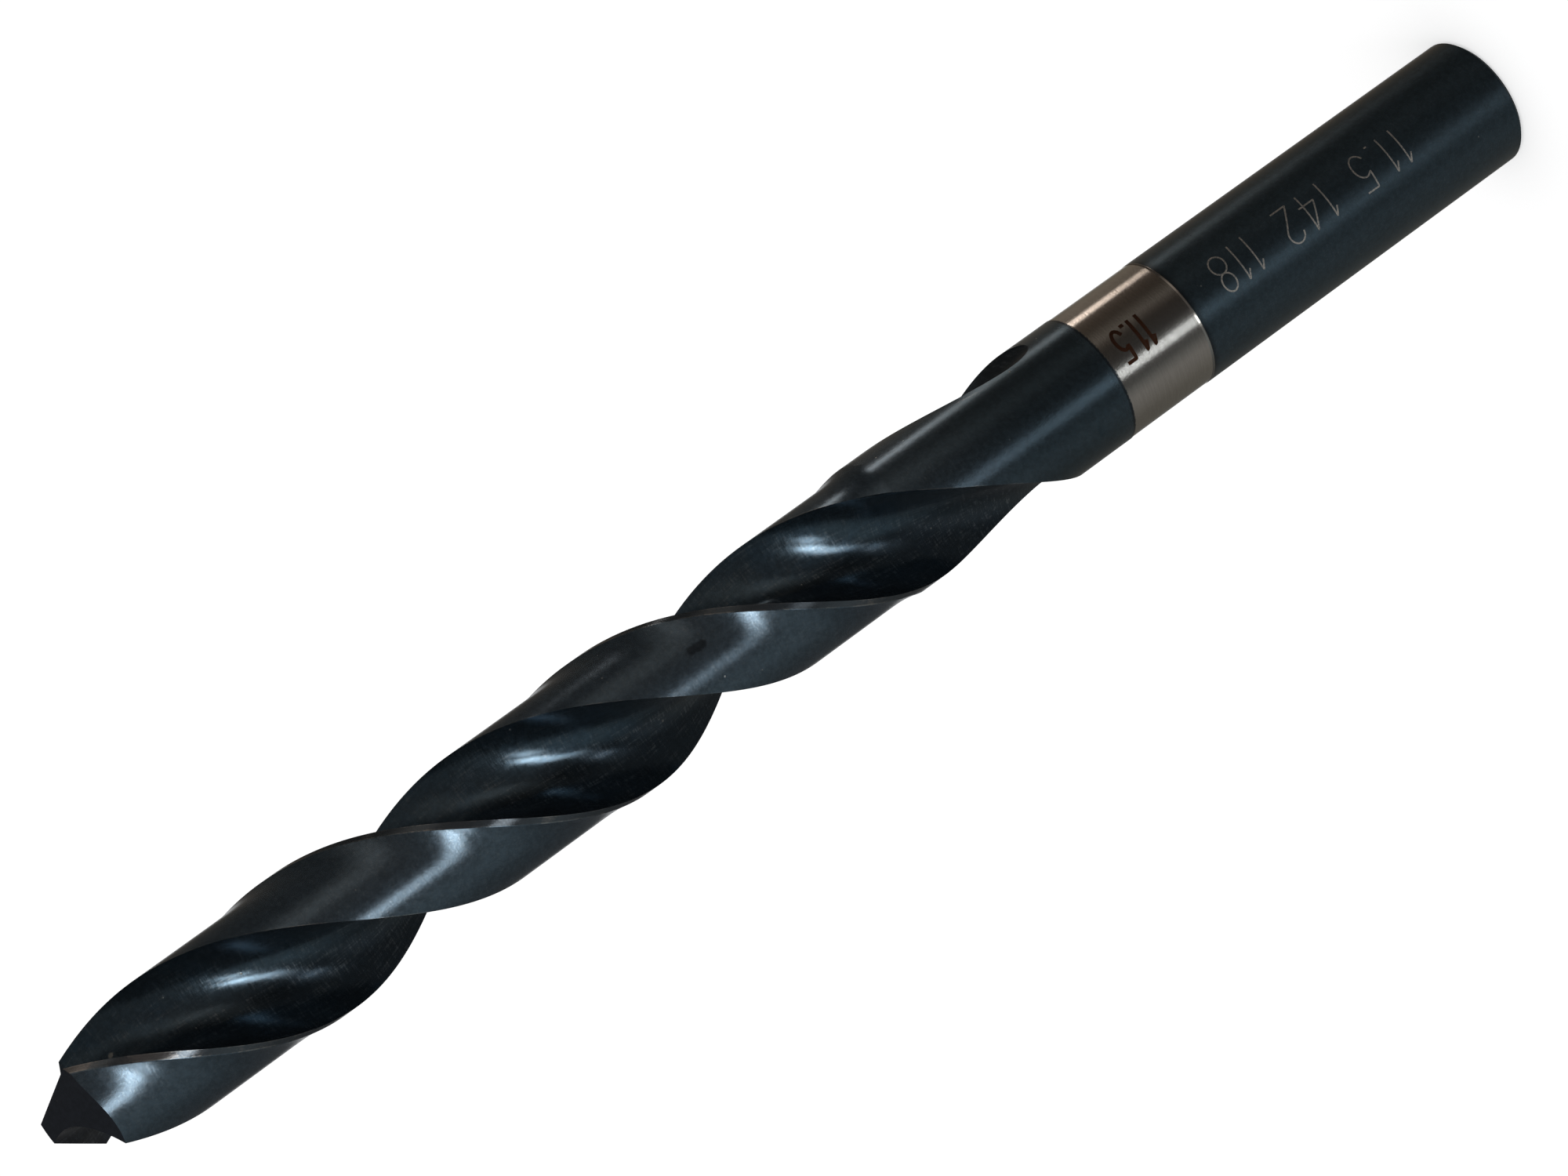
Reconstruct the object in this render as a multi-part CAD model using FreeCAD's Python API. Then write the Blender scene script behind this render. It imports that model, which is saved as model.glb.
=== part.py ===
import FreeCAD, Part

import math
import os

from FreeCAD import Vector

# A jobber twist drill in one piece. It stands on its shank end: the origin is the centre of that end
# face, and +Z runs along the axis to the point. At the point the two lips run along X.

# Driving dimensions, in millimetres and degrees
diameter = 11.5
overall_length = 142.0
flute_length = 93.5
flute_lead = 56.5
land_width = 6.75
margin_width = 0.55
clearance_fillet_width = 2.6
clearance_depth = 0.4
clearance_length = 78.0
clearance_runout_length = 3.0
web_at_point = 1.5
web_growth_per_mm = 0.015
runout_length = 14.5
runout_rounding = 8.0
runout_lean = 50.0
point_angle = 118.0
lip_easing_angle = 6.2
lip_easing_length = 7.2
lip_relief_angle = 12.0
grind_cone_half_angle = 35.0
grind_cone_reach = 16.0
shank_end_chamfer = 0.35
band_length = 8.2
band_depth = 0.04
band_shoulder = 0.15
neck_length = 5.6

# How far the cutters stand past the bar, and how close together their sections lie
cutter_overrun = 1.5
station_step = 2.5
runout_stations = 8
lip_stations = 4
heel_stations = 4
fillet_stations = 4
arc_stations = 4
half_turn_stations = 9

# Sizes that follow from the ones above
radius = diameter / 2
body_radius = radius - clearance_depth
cutter_radius = radius + cutter_overrun
twist_per_mm = 2 * math.pi / flute_lead
helix_angle = math.atan(radius * twist_per_mm)
lip_drop = 1 / math.tan(math.radians(point_angle / 2))
land_sweep = land_width / math.cos(helix_angle) / radius
margin_sweep = margin_width / math.cos(helix_angle) / radius
fillet_sweep = clearance_fillet_width / math.cos(helix_angle) / radius
flute_sweep = math.pi - land_sweep
lip_easing = math.radians(lip_easing_angle)
flute_end = overall_length - flute_length
clearance_end = overall_length - clearance_length
band_top = flute_end - neck_length
band_bottom = band_top - band_length


def polar(distance, angle, height):
    """The point at a distance and an angle round the axis, at a height."""
    return Vector(distance * math.cos(angle), distance * math.sin(angle), height)


def turned(point, angle):
    """The point turned round the axis by an angle."""
    cosine = math.cos(angle)
    sine = math.sin(angle)
    return Vector(point.x * cosine - point.y * sine, point.x * sine + point.y * cosine, point.z)


def stations(start, end, count):
    """Evenly spaced values from start to end, both included."""
    return [start + (end - start) * index / (count - 1) for index in range(count)]


def grinding_cone():
    """Apex and axis of the cone that grinds the flank behind the first lip.

    The lip lies on the cone, parallel to X and half a web ahead of the drill's axis, with the middle
    of that line at the origin's height. The cone is tipped about the lip by the relief angle.
    """
    half_point = math.radians(point_angle / 2)
    lip = Vector(math.sin(half_point), 0, -math.cos(half_point))
    ahead = Vector(0, 1, 0)
    upright = Vector(math.cos(half_point), 0, math.sin(half_point))
    tip_over = math.atan(math.tan(math.radians(lip_relief_angle)) * math.sin(half_point))
    outward = upright * math.cos(tip_over) - ahead * math.sin(tip_over)
    half_cone = math.radians(grind_cone_half_angle)
    axis = lip * math.cos(half_cone) - outward * math.sin(half_cone)
    apex = ahead * (web_at_point / 2) - lip * grind_cone_reach
    return apex, axis


def cone_height_on_axis(apex, axis):
    """Height at which the drill's axis meets the cone: the upper root of the cone's equation."""
    cosine_squared = math.cos(math.radians(grind_cone_half_angle)) ** 2
    along = apex.dot(axis)
    a = axis.z ** 2 - cosine_squared
    b = 2 * (cosine_squared * apex.z - along * axis.z)
    c = along ** 2 - cosine_squared * apex.dot(apex)
    root = math.sqrt(b * b - 4 * a * c)
    return min((-b + root) / (2 * a), (-b - root) / (2 * a), key=abs)


cone_apex, cone_axis = grinding_cone()
lip_line_height = overall_length - cone_height_on_axis(cone_apex, cone_axis)


def bar():
    """The turned bar: shank with its end chamfer and the ground band, and the body up to the point.

    The body's skin is divided along the middle of the two flutes, so that no seam crosses a land.
    """
    outline = [
        (0, 0),
        (radius - shank_end_chamfer, 0),
        (radius, shank_end_chamfer),
        (radius, band_bottom - band_shoulder),
        (radius - band_depth, band_bottom),
        (radius - band_depth, band_top),
        (0, band_top),
    ]
    corners = [Vector(distance, 0, height) for distance, height in outline]
    profile = Part.Face(Part.makePolygon(corners + corners[:1]))
    shank = profile.revolve(Vector(0, 0, 0), Vector(0, 0, 1), 360)
    middle = heel_angle - flute_sweep / 2
    top = overall_length + cutter_overrun

    def sides_at(height):
        start = middle + twist(height)
        halves = (start, start + math.pi), (start + math.pi, start + 2 * math.pi)
        return [[polar(radius, angle, height) for angle in stations(first, last, half_turn_stations)]
                for first, last in halves]

    count = int((top - band_top) / station_step) + 2
    return shank.fuse(swept_solid(sides_at, stations(band_top, top, count)))


def ground_point(body):
    """The bar kept inside two cones, half a turn apart, that meet along the chisel edge."""
    length = overall_length * 2
    wide = length * math.tan(math.radians(grind_cone_half_angle))
    place = cone_apex + Vector(0, 0, lip_line_height)
    cone = Part.makeCone(0, wide, length, place, cone_axis)
    for turn in (0, 180):
        flank = cone.copy()
        flank.rotate(Vector(0, 0, 0), Vector(0, 0, 1), turn)
        body = body.common(flank)
    return body


def through(points, places):
    """Cubic curve through the points, each at its own place along the curve."""
    curve = Part.BSplineCurve()
    curve.interpolate(Points=points, Parameters=places)
    return curve


def spread(points):
    """Places from 0 to 1 for the points, in proportion to the distances between them."""
    total = [0]
    for first, second in zip(points, points[1:]):
        total.append(total[-1] + first.distanceToPoint(second))
    return [value / total[-1] for value in total]


def skin(rows, heights):
    """Smooth surface through rows of points, one row at each height.

    Curves run up through each column first, and curves across run through the poles of those.
    """
    across = spread(rows[0])
    columns = [through(list(column), heights) for column in zip(*rows)]
    lines = [through(list(poles), across) for poles in zip(*[column.getPoles() for column in columns])]
    surface = Part.BSplineSurface()
    surface.buildFromPolesMultsKnots(
        [line.getPoles() for line in lines],
        columns[0].getMultiplicities(),
        lines[0].getMultiplicities(),
        columns[0].getKnots(),
        lines[0].getKnots(),
        False,
        False,
        columns[0].Degree,
        lines[0].Degree,
    )
    return surface


def swept_solid(sides_at, heights):
    """Closed solid whose section at each height is the loop of sides that sides_at gives there."""
    loops = [sides_at(height) for height in heights]
    surfaces = [skin(list(rows), heights) for rows in zip(*loops)]
    faces = [surface.toShape() for surface in surfaces]
    for height in (heights[0], heights[-1]):
        rim = [surface.uIso(height).toShape() for surface in surfaces]
        faces.append(Part.Face(Part.Wire(rim)))
    shell = Part.makeShell(faces)
    shell.sewShape()
    return Part.makeSolid(shell)


def web_half(height):
    """Half the web: it grows from the point towards the shank."""
    return (web_at_point + web_growth_per_mm * (overall_length - height)) / 2


def climb(below, length, depth):
    """How far a cutter has climbed at a distance below the start of its run-out.

    It climbs by the depth over the length, along a slope whose start is rounded.
    """
    slope = math.sqrt((depth + runout_rounding) ** 2 - runout_rounding ** 2) / length
    return math.sqrt((slope * max(0, below)) ** 2 + runout_rounding ** 2) - runout_rounding


def leading_angle(half_web):
    """Angle of the leading edge in a section, from the line of the lip."""
    reach = math.sqrt(radius ** 2 - half_web ** 2)
    return math.asin(half_web / radius) + twist_per_mm * lip_drop * reach


edge_angle = leading_angle(web_at_point / 2)
heel_angle = edge_angle + lip_easing + flute_sweep
lip_corner_height = lip_line_height - lip_drop * math.sqrt(radius ** 2 - (web_at_point / 2) ** 2)


def eased(height):
    """How far the leading edge is turned ahead of its place at the lips.

    Away from the point it is ahead by the whole easing angle. Over the easing length it falls back to
    its place at the lips, as the square of the way covered.
    """
    share = 1 + (height - lip_corner_height) / lip_easing_length
    return lip_easing * (1 - min(1, max(0, share)) ** 2)


def twist(height):
    """Turn of the flutes at a height, from their place at the lips."""
    return twist_per_mm * (height - lip_line_height)


def cutter_heights(start, end):
    """Heights of the cutter's sections: close together over the run-out, then evenly to the top."""
    top = overall_length + cutter_overrun
    count = int((top - start) / station_step) + 2
    return stations(end, start, runout_stations)[:-1] + stations(start, top, count)


def flute_cutter():
    """Cutter for the first flute.

    The side next to the lip is the curve that makes the ground lip come out straight: each of its
    points is the lip's own point, turned back by the twist between the two heights, and below the
    lips turned ahead by the easing. The other side is an arc that starts level on the web and passes
    through the heel of the land ahead.
    """
    depth = radius - web_half(flute_end)
    start = flute_end + runout_length
    end = flute_end - runout_length / 4
    lift_angle = heel_angle - flute_sweep / 2 + math.radians(runout_lean)

    def sides_at(height):
        half_web = web_half(height)
        steady = edge_angle - leading_angle(half_web)
        lip_reach = math.sqrt(cutter_radius ** 2 - half_web ** 2)
        lip_side = []
        for along in stations(lip_reach, 0, lip_stations):
            lip_side.append(turned(Vector(along, half_web, height), twist_per_mm * lip_drop * along))
        heel = turned(polar(body_radius, heel_angle, height), -steady - lip_easing)
        rise = heel.y - half_web
        arc_radius = (heel.x ** 2 + rise ** 2) / (2 * rise)
        arc_sweep = math.atan2(-heel.x, arc_radius - rise)
        heel_side = []
        for swept in stations(0, arc_sweep, heel_stations)[1:]:
            over = -arc_radius * math.sin(swept)
            heel_side.append(Vector(over, half_web + arc_radius * (1 - math.cos(swept)), height))
        away = Vector(-math.cos(arc_sweep), math.sin(arc_sweep), 0)
        heel_side.append(heel + away * cutter_overrun)
        wall = [turned(point, steady + eased(height)) for point in lip_side]
        wall += [turned(point, steady + lip_easing) for point in heel_side]
        first = math.atan2(wall[0].y, wall[0].x)
        last = math.atan2(wall[-1].y, wall[-1].x)
        far = cutter_radius + cutter_overrun
        sides = [wall, [wall[-1], polar(far, last, height)]]
        sides.append([polar(far, angle, height) for angle in stations(last, first, arc_stations)])
        sides.append([polar(far, first, height), wall[0]])
        lift = polar(climb(start - height, runout_length, depth), lift_angle, 0)
        return [[turned(point + lift, twist(height)) for point in side] for side in sides]

    return swept_solid(sides_at, cutter_heights(start, end))


def clearance_cutter():
    """Cutter that lowers the land behind its margin: a hollow fillet, then a floor to past the heel.

    The fillet falls as the square of the distance left to the floor, and reaches the floor level.
    """
    start = clearance_end + clearance_runout_length
    end = clearance_end - clearance_runout_length / 4
    past_heel = heel_angle - math.pi - flute_sweep / 8

    def sides_at(height):
        fillet_top = edge_angle + eased(height) - margin_sweep
        fillet_foot = fillet_top - fillet_sweep
        lift = climb(start - height, clearance_runout_length, clearance_depth)
        fillet = []
        for left in stations(1.5, 0, fillet_stations):
            distance = body_radius + clearance_depth * left ** 2 + lift
            fillet.append(polar(distance, fillet_foot + fillet_sweep * left, height))
        floor = [polar(body_radius + lift, angle, height)
                 for angle in stations(fillet_foot, past_heel, arc_stations)]
        high = [polar(cutter_radius + lift, angle, height)
                for angle in stations(past_heel, fillet_top + fillet_sweep / 2, arc_stations)]
        sides = [fillet, floor, [floor[-1], high[0]], high, [high[-1], fillet[0]]]
        return [[turned(point, twist(height)) for point in side] for side in sides]

    return swept_solid(sides_at, cutter_heights(start, end))


def drill_bit():
    """The bar with its ground point, less both clearances and both flutes."""
    body = ground_point(bar())
    for cutter in (clearance_cutter(), flute_cutter()):
        for turn in (0, 180):
            pass_shape = cutter.copy()
            pass_shape.rotate(Vector(0, 0, 0), Vector(0, 0, 1), turn)
            body = body.cut(pass_shape)
    return body.Solids[0]


os.makedirs("parts", exist_ok=True)
drill_bit().exportStep("parts/drill_bit.step")
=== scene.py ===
import math

import bpy
import numpy as np
from mathutils import Matrix


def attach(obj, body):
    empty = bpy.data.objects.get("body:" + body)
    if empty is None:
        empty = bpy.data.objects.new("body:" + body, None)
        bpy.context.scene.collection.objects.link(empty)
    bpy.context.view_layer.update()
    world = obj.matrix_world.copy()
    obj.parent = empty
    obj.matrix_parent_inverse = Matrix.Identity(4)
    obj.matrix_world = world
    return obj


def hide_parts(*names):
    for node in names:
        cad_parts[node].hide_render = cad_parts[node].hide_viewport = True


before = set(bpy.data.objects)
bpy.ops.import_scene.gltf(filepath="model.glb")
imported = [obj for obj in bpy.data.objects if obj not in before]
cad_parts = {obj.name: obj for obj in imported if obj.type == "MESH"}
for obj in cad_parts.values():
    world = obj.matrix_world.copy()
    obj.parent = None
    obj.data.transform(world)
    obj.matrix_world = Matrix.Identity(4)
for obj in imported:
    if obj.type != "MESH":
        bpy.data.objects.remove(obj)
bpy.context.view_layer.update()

# Sizes of the drill, in millimetres and radians. It stands on its shank end, with the point up.
RADIUS = 5.75
LENGTH = 142.0
LEAD = 56.5
FLUTE_END = 48.5
RUNOUT_LENGTH = 14.5
RUNOUT_ROUNDING = 8.0
RUNOUT_LEAN = math.radians(50.0)
LAND_WIDTH = 6.75
MARGIN_WIDTH = 0.55
FILLET_WIDTH = 2.6
CLEARANCE_DEPTH = 0.4
CLEARANCE_END = 64.0
CLEARANCE_RUNOUT = 3.0
WEB_AT_POINT = 1.5
WEB_GROWTH = 0.015
HALF_POINT = math.radians(59.0)
LIP_RELIEF = math.radians(12.0)
LIP_EASING = math.radians(6.2)
LIP_EASING_LENGTH = 7.2
CONE_HALF_ANGLE = math.radians(35.0)
CONE_REACH = 16.0
OVERRUN = 1.5
BAND_TOP = 42.9
BAND_BOTTOM = 34.7
BAND_DEPTH = 0.04
BAND_SHOULDER = 0.15
END_CHAMFER = 0.35

BODY_RADIUS = RADIUS - CLEARANCE_DEPTH
CUTTER_RADIUS = RADIUS + OVERRUN
TURN_PER_MM = 2 * math.pi / LEAD
HELIX = math.atan(RADIUS * TURN_PER_MM)
LIP_DROP = 1 / math.tan(HALF_POINT)
ROUND_EDGE = 1 / (math.cos(HELIX) * RADIUS)
LAND_SWEEP = LAND_WIDTH * ROUND_EDGE
MARGIN_SWEEP = MARGIN_WIDTH * ROUND_EDGE
FILLET_SWEEP = FILLET_WIDTH * ROUND_EDGE
FLUTE_SWEEP = math.pi - LAND_SWEEP
RUNOUT_START = FLUTE_END + RUNOUT_LENGTH
MILLIMETRE = 0.001
TINY = 1e-9
HALVINGS = 50
# Places tried along the flute's wall, in each of many sections and in a single one
PLACES = 601
FINE_PLACES = 6001
# The turn of the flute's arc reaches its full easing at one over this of the arc's way
EASING_SPREAD = 3
# The chisel edge bends off its straight line by less than this
CHISEL_BOW = 0.3


def smooth(share):
    """A share from 0 to 1 with smooth ends."""
    return share * share * (3 - 2 * share)


def halved(inside, outside, is_out):
    """The last place from inside to outside before is_out holds, by halving the way between them."""
    for _ in range(HALVINGS):
        middle = (inside + outside) / 2
        out = is_out(middle)
        inside, outside = np.where(out, inside, middle), np.where(out, middle, outside)
    return inside


def turn(x, y, angle):
    """The points turned round the axis."""
    cosine, sine = np.cos(angle), np.sin(angle)
    return x * cosine - y * sine, x * sine + y * cosine


def cone_axis():
    """Apex and axis of the grinding cone behind the first lip, from the middle of the lip's line.

    The axis leans off the lip by the cone's half angle, towards the inside of the drill. The whole
    cone is tipped about the lip by the relief angle.
    """
    lip = np.array([math.sin(HALF_POINT), 0, -math.cos(HALF_POINT)])
    upright = np.array([math.cos(HALF_POINT), 0, math.sin(HALF_POINT)])
    ahead = np.array([0.0, 1.0, 0.0])
    tip_over = math.atan(math.tan(LIP_RELIEF) * math.sin(HALF_POINT))
    outward = upright * math.cos(tip_over) - ahead * math.sin(tip_over)
    axis = lip * math.cos(CONE_HALF_ANGLE) - outward * math.sin(CONE_HALF_ANGLE)
    return ahead * (WEB_AT_POINT / 2) - lip * CONE_REACH, axis


APEX, AXIS = cone_axis()


def cone_height(x, y):
    """Height of the first flank over the middle of the lips: the upper root of the cone's equation.

    A point is on the cone where its distance along the axis, squared, is its distance from the apex,
    squared, times the squared cosine of the half angle.
    """
    share = math.cos(CONE_HALF_ANGLE) ** 2
    east, north, up = x - APEX[0], y - APEX[1], -APEX[2]
    along = east * AXIS[0] + north * AXIS[1] + up * AXIS[2]
    a = AXIS[2] ** 2 - share
    b = 2 * (along * AXIS[2] - share * up)
    c = along ** 2 - share * (east ** 2 + north ** 2 + up ** 2)
    root = np.sqrt(np.maximum(b * b - 4 * a * c, 0))
    roots = (-b + root) / (2 * a), (-b - root) / (2 * a)
    return np.where(np.abs(roots[0]) < np.abs(roots[1]), roots[0], roots[1])


LIP_HEIGHT = LENGTH - float(cone_height(0.0, 0.0))


def flank_height(x, y):
    """Height of the ground point: the lower of two cones, half a turn apart."""
    return LIP_HEIGHT + np.minimum(cone_height(x, y), cone_height(-x, -y))


def web_half(z):
    """Half the web, which grows from the point towards the shank."""
    return (WEB_AT_POINT + WEB_GROWTH * (LENGTH - z)) / 2


def leading_angle(half_web):
    """Angle of the leading edge in a section, from the line of the lip."""
    reach = np.sqrt(RADIUS ** 2 - half_web ** 2)
    return np.arcsin(half_web / RADIUS) + TURN_PER_MM * LIP_DROP * reach


EDGE_ANGLE = float(leading_angle(WEB_AT_POINT / 2))
HEEL_ANGLE = EDGE_ANGLE + LIP_EASING + FLUTE_SWEEP
LIP_CORNER = LIP_HEIGHT - LIP_DROP * math.sqrt(RADIUS ** 2 - (WEB_AT_POINT / 2) ** 2)
LIFT_ANGLE = HEEL_ANGLE - FLUTE_SWEEP / 2 + RUNOUT_LEAN


def eased(z):
    """Turn of the leading edge ahead of its place at the lips: it falls back near the point."""
    share = np.clip(1 + (z - LIP_CORNER) / LIP_EASING_LENGTH, 0, 1)
    return LIP_EASING * (1 - share ** 2)


def climb(below, length, depth):
    """Climb of a cutter below the start of its run-out: a slope with a rounded start."""
    slope = math.sqrt((depth + RUNOUT_ROUNDING) ** 2 - RUNOUT_ROUNDING ** 2) / length
    return np.sqrt((slope * np.maximum(0, below)) ** 2 + RUNOUT_ROUNDING ** 2) - RUNOUT_ROUNDING


def flute_wall(place, z):
    """Point of the first flute's wall in the section at height z, before the section's own twist.

    From place 0 to 1 it is the side next to the lip: the lip's straight line, each point turned back
    by the twist between the lip's height and the section's. From 1 to 2 it is an arc that starts
    level on the web and ends at the heel, and from 2 to 3 it goes on straight past the heel. Low in
    the flute the whole wall is moved outwards by the cutter's climb.
    """
    half_web = web_half(z)
    steady = EDGE_ANGLE - leading_angle(half_web)
    along = np.sqrt(CUTTER_RADIUS ** 2 - half_web ** 2) * (1 - place)
    lip_x, lip_y = turn(along, half_web, TURN_PER_MM * LIP_DROP * along + steady + eased(z))
    heel_turn = HEEL_ANGLE - steady - LIP_EASING
    heel_x, heel_y = BODY_RADIUS * np.cos(heel_turn), BODY_RADIUS * np.sin(heel_turn)
    rise = heel_y - half_web
    arc_radius = (heel_x ** 2 + rise ** 2) / (2 * rise)
    sweep = np.arctan2(-heel_x, arc_radius - rise)
    swept = sweep * np.clip(place - 1, 0, 1)
    past = OVERRUN * np.maximum(place - 2, 0)
    arc_x = -arc_radius * np.sin(swept) - np.cos(sweep) * past
    arc_y = half_web + arc_radius * (1 - np.cos(swept)) + np.sin(sweep) * past
    blend = smooth(np.clip((place - 1) * EASING_SPREAD, 0, 1))
    arc_x, arc_y = turn(arc_x, arc_y, steady + eased(z) + (LIP_EASING - eased(z)) * blend)
    lift = climb(RUNOUT_START - z, RUNOUT_LENGTH, RADIUS - web_half(FLUTE_END))
    x = np.where(place < 1, lip_x, arc_x) + lift * math.cos(LIFT_ANGLE)
    y = np.where(place < 1, lip_y, arc_y) + lift * math.sin(LIFT_ANGLE)
    return x, y


def land_lift(z):
    """Climb of the land's clearance at a height."""
    return climb(CLEARANCE_END + CLEARANCE_RUNOUT - z, CLEARANCE_RUNOUT, CLEARANCE_DEPTH)


def wall_ends(z):
    """Places on the wall where it leaves the bar, next to the lip and at the heel, for each height.

    The wall's nearest point to the axis parts the two, and each is found by halving the way from
    there to the wall's end. Where even that point is outside the bar, both are that point.
    """
    places = np.linspace(0, 3, PLACES)
    distance = np.hypot(*flute_wall(places[None, :], z[:, None]))
    deepest = places[np.argmin(distance, axis=1)]
    floor = np.minimum(RADIUS, BODY_RADIUS + land_lift(z))
    ends = []
    for limit, far in ((np.full_like(z, RADIUS), 0.0), (floor, 3.0)):
        end = halved(deepest, np.full_like(z, far),
                     lambda place: np.hypot(*flute_wall(place, z)) > limit)
        ends.append(np.where(distance.min(axis=1) > limit, deepest, end))
    return ends


def bar_end_of_flute():
    """The lowest height at which the flute's wall still cuts the bar."""
    places = np.linspace(0, 3, FINE_PLACES)
    below_all = FLUTE_END - 3.0
    return float(halved(RUNOUT_START, below_all,
                        lambda z: np.hypot(*flute_wall(places, z)).min() > RADIUS))


FLUTE_TIP = bar_end_of_flute()


def chisel_corner():
    """Distance along the lip at which it meets the chisel edge: both cones are equally high there."""
    half_web = WEB_AT_POINT / 2
    return float(halved(0.0, RADIUS / 2,
                        lambda along: cone_height(along, half_web) <= cone_height(-along, -half_web)))


# Columns of the skin across the flute's wall and across the land's floor, fillet and margin, all of
# them for half the way round, and the column of the wall that ends at the chisel edge
WALL_COLUMNS = 53
FLOOR_COLUMNS = 34
FILLET_COLUMNS = 9
MARGIN_COLUMNS = 4
HALF = WALL_COLUMNS + FLOOR_COLUMNS + FILLET_COLUMNS + MARGIN_COLUMNS - 1
CHISEL_COLUMN = WALL_COLUMNS // 2
# Rings on the shank's end, as shares of the radius, and rows up the shank, the band, the neck above
# it, the run-outs, the fluted body and the point
END_RINGS = (0.02, 0.3, 0.6)
SHANK_ROWS = 16
BAND_ROWS = 6
NECK_ROWS = 5
RUNOUT_ROWS = 64
BODY_ROWS = 166
POINT_ROWS = 18
# From this height each column rises to the point by its own way
POINT_BASE = 135.5
# How far the flute's wall is hollowed, and the length below the point's base over which that fades.
# It starts where the flute is as wide as the third number, and is full where it is wider by the fourth.
HOLLOW_DEPTH = 0.24
HOLLOW_FADE = 3.0
NARROW_FLUTE = 2.4
FLUTE_WIDENING = 6.0
# The distance from an edge that stands for any that is too great to matter
FAR = 9.0
# Faces that meet at a greater angle have a sharp edge between them
SHARP_ANGLE = math.radians(13)


def lead_place(z):
    """Place on the wall of the leading edge, above the run-outs."""
    half_web = web_half(z)
    return 1 - np.sqrt(RADIUS ** 2 - half_web ** 2) / np.sqrt(CUTTER_RADIUS ** 2 - half_web ** 2)


def wall_shares():
    """Shares of the way across the flute for its columns, the middle one at the chisel's end."""
    start = float(lead_place(LENGTH))
    reach = math.sqrt(CUTTER_RADIUS ** 2 - (WEB_AT_POINT / 2) ** 2)
    corner = (1 - chisel_corner() / reach - start) / (2 - start)
    first = np.linspace(0, corner, CHISEL_COLUMN + 1)
    rest = np.linspace(corner, 1, CHISEL_COLUMN + 1)
    return np.concatenate([first, rest[1:]])


SHARES = wall_shares()


def land(z, heel, lead):
    """The land between two flutes, before the twist, from past the heel to short of the next edge.

    It follows the clearance floor from the heel, rises with the cube of the way over the fillet,
    and ends with the margin at the full radius. Below the clearance its columns grow even.
    """
    top = EDGE_ANGLE + eased(z) - MARGIN_SWEEP + math.pi
    foot = top - FILLET_SWEEP
    floor_share = np.linspace(0, 1, FLOOR_COLUMNS + 1)[1:]
    fillet_share = np.linspace(0, 1, FILLET_COLUMNS + 1)[1:]
    margin_share = np.linspace(0, 1, MARGIN_COLUMNS + 1)[1:-1]
    first, second = FLOOR_COLUMNS, FLOOR_COLUMNS + FILLET_COLUMNS
    heel, lead = np.broadcast_to(heel, z.shape), np.broadcast_to(lead, z.shape)
    angle = np.concatenate([
        (heel + (foot - heel) * np.append(floor_share, [0] * (z.shape[1] - first)))[:, :first],
        (foot[:, first:second] + FILLET_SWEEP * fillet_share),
        (top[:, second:] + (lead - top)[:, second:] * margin_share),
    ], axis=1)
    even = heel + (lead - heel) * np.arange(1, z.shape[1] + 1) / (z.shape[1] + 1)
    below = np.clip((CLEARANCE_END - z) / (CLEARANCE_END - FLUTE_TIP), 0, 1)
    angle = angle + (even - angle) * smooth(below)
    left = np.maximum(0, (angle - foot) / FILLET_SWEEP)
    distance = np.minimum(RADIUS, BODY_RADIUS + CLEARANCE_DEPTH * left ** 3 + land_lift(z))
    return distance * np.cos(angle), distance * np.sin(angle)


def hollowed(x, y, z):
    """The flute's wall, ground a little deeper next to the lip and shallower at the heel.

    Across the flute the depth follows one wave of a sine, laid off square to the wall. It fades out
    where the flute is narrow, and below the point.
    """
    along_x, along_y = np.gradient(x, axis=1), np.gradient(y, axis=1)
    step = np.hypot(along_x, along_y) + TINY
    width = step.sum(axis=1, keepdims=True)
    depth = HOLLOW_DEPTH * np.sin(2 * math.pi * SHARES)
    depth = depth * np.clip((width - NARROW_FLUTE) / FLUTE_WIDENING, 0, 1)
    depth = depth * np.clip((POINT_BASE - z) / HOLLOW_FADE, 0, 1)
    return x - along_y / step * depth, y + along_x / step * depth


def ring(z, place, heel, lead):
    """A whole row round the drill: wall, land, and the same half a turn on, all turned by the helix."""
    wall_x, wall_y = flute_wall(place, z[:, :WALL_COLUMNS])
    wall_x, wall_y = hollowed(wall_x, wall_y, z[:, :WALL_COLUMNS])
    land_x, land_y = land(z[:, WALL_COLUMNS:], heel, lead)
    x, y = np.concatenate([wall_x, land_x], axis=1), np.concatenate([wall_y, land_y], axis=1)
    x, y = turn(x, y, TURN_PER_MM * (z - LIP_HEIGHT))
    return np.stack([np.concatenate(pair, axis=1) for pair in ((x, -x), (y, -y), (z, z))], axis=2)


def body_rows(heights):
    """Level rows of the fluted body."""
    first, last = wall_ends(heights)
    place = first[:, None] + (last - first)[:, None] * SHARES
    angles = [np.arctan2(*flute_wall(end, heights)[::-1]) % (2 * math.pi) for end in (last, first)]
    z = np.repeat(heights[:, None], HALF, axis=1)
    return ring(z, place, angles[0][:, None], angles[1][:, None] + math.pi)


def point_rows(base, count):
    """Rows that rise from a level row to the ground point, each column by its own way.

    The height at which a column meets the point is found by halving.
    """

    def section(z):
        first = lead_place(z[:, :WALL_COLUMNS])
        place = first + (2 - first) * SHARES
        return ring(z, place, HEEL_ANGLE, EDGE_ANGLE + eased(z[:, WALL_COLUMNS:]) + math.pi)

    def is_over(z):
        at = section(z)[:, :HALF]
        return z > flank_height(at[..., 0], at[..., 1])

    top = halved(np.full((1, HALF), base), np.full((1, HALF), LENGTH + 1), is_over)
    return section(base + (top - base) * np.linspace(0, 1, count)[1:, None])


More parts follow.
